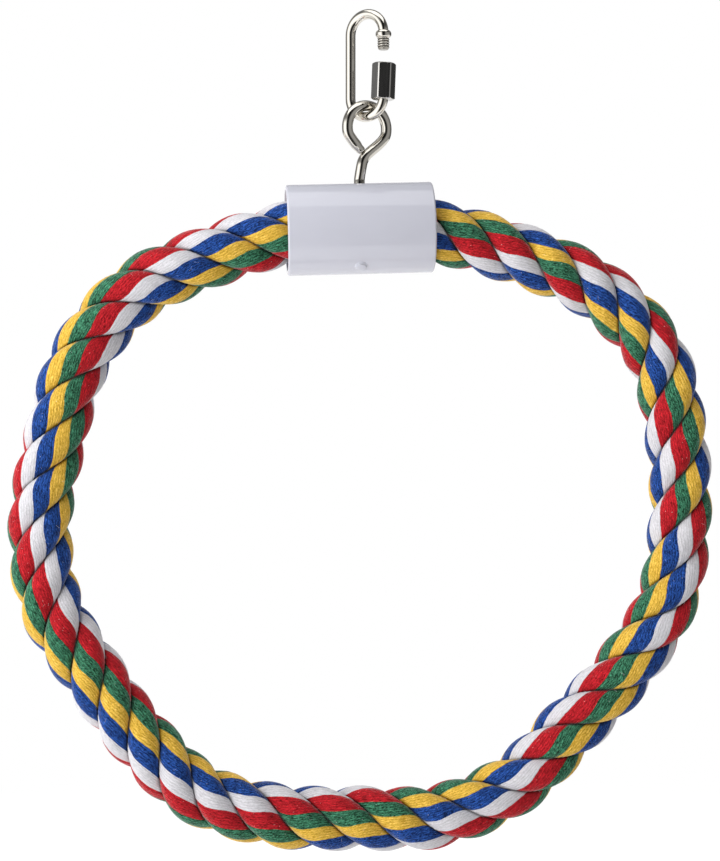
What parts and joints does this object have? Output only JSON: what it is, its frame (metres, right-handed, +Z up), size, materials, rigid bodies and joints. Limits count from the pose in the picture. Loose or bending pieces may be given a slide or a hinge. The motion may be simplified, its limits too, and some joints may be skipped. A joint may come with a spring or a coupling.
{
  "type": "bird swing",
  "caption": "Ring swing for a cage bird: laid cotton rope with its ends in a plastic sleeve, hung by an eye screw from an open quick link.",
  "frame": {"origin": "where the inside of the quick link's top bend rests on the hook or bar that carries the swing", "axes": "+Z up, +X to the right and +Y to the back, with the ring in the XZ plane"},
  "size_m": [0.2542, 0.0326, 0.3029],
  "materials": {
    "cotton_rope": "matt cotton in blue, yellow, green, red and white",
    "white_plastic": "satin white",
    "bright_nickel": "bright nickel plate",
    "nut_nickel": "dull nickel plate, rubbed bright at the corners",
    "core_steel": "plain drawn wire",
    "end_tape": "matt tape"
  },
  "bodies": {
    "hanger": {"quick_link": "bright_nickel"},
    "nut": {"link_nut": "nut_nickel"},
    "ring": {"eye_screw": "bright_nickel", "tip_cap": "white_plastic", "sleeve": "white_plastic", "end_tape_right": "end_tape", "end_tape_left": "end_tape", "rope_strand_1": "cotton_rope", "rope_strand_2": "cotton_rope", "rope_strand_3": "cotton_rope", "core_wire": "core_steel"}
  },
  "joints": [
    {"name": "ring_swing", "type": "hinge", "parent": "hanger", "child": "ring", "pos_m": [0, 0, -0.03275], "axis": [1, 0, 0], "range_deg": [-35, 35]},
    {"name": "nut_travel", "type": "slide", "parent": "hanger", "child": "nut", "axis": [0, 0, 1], "range_m": [0, 0.0085]}
  ]
}
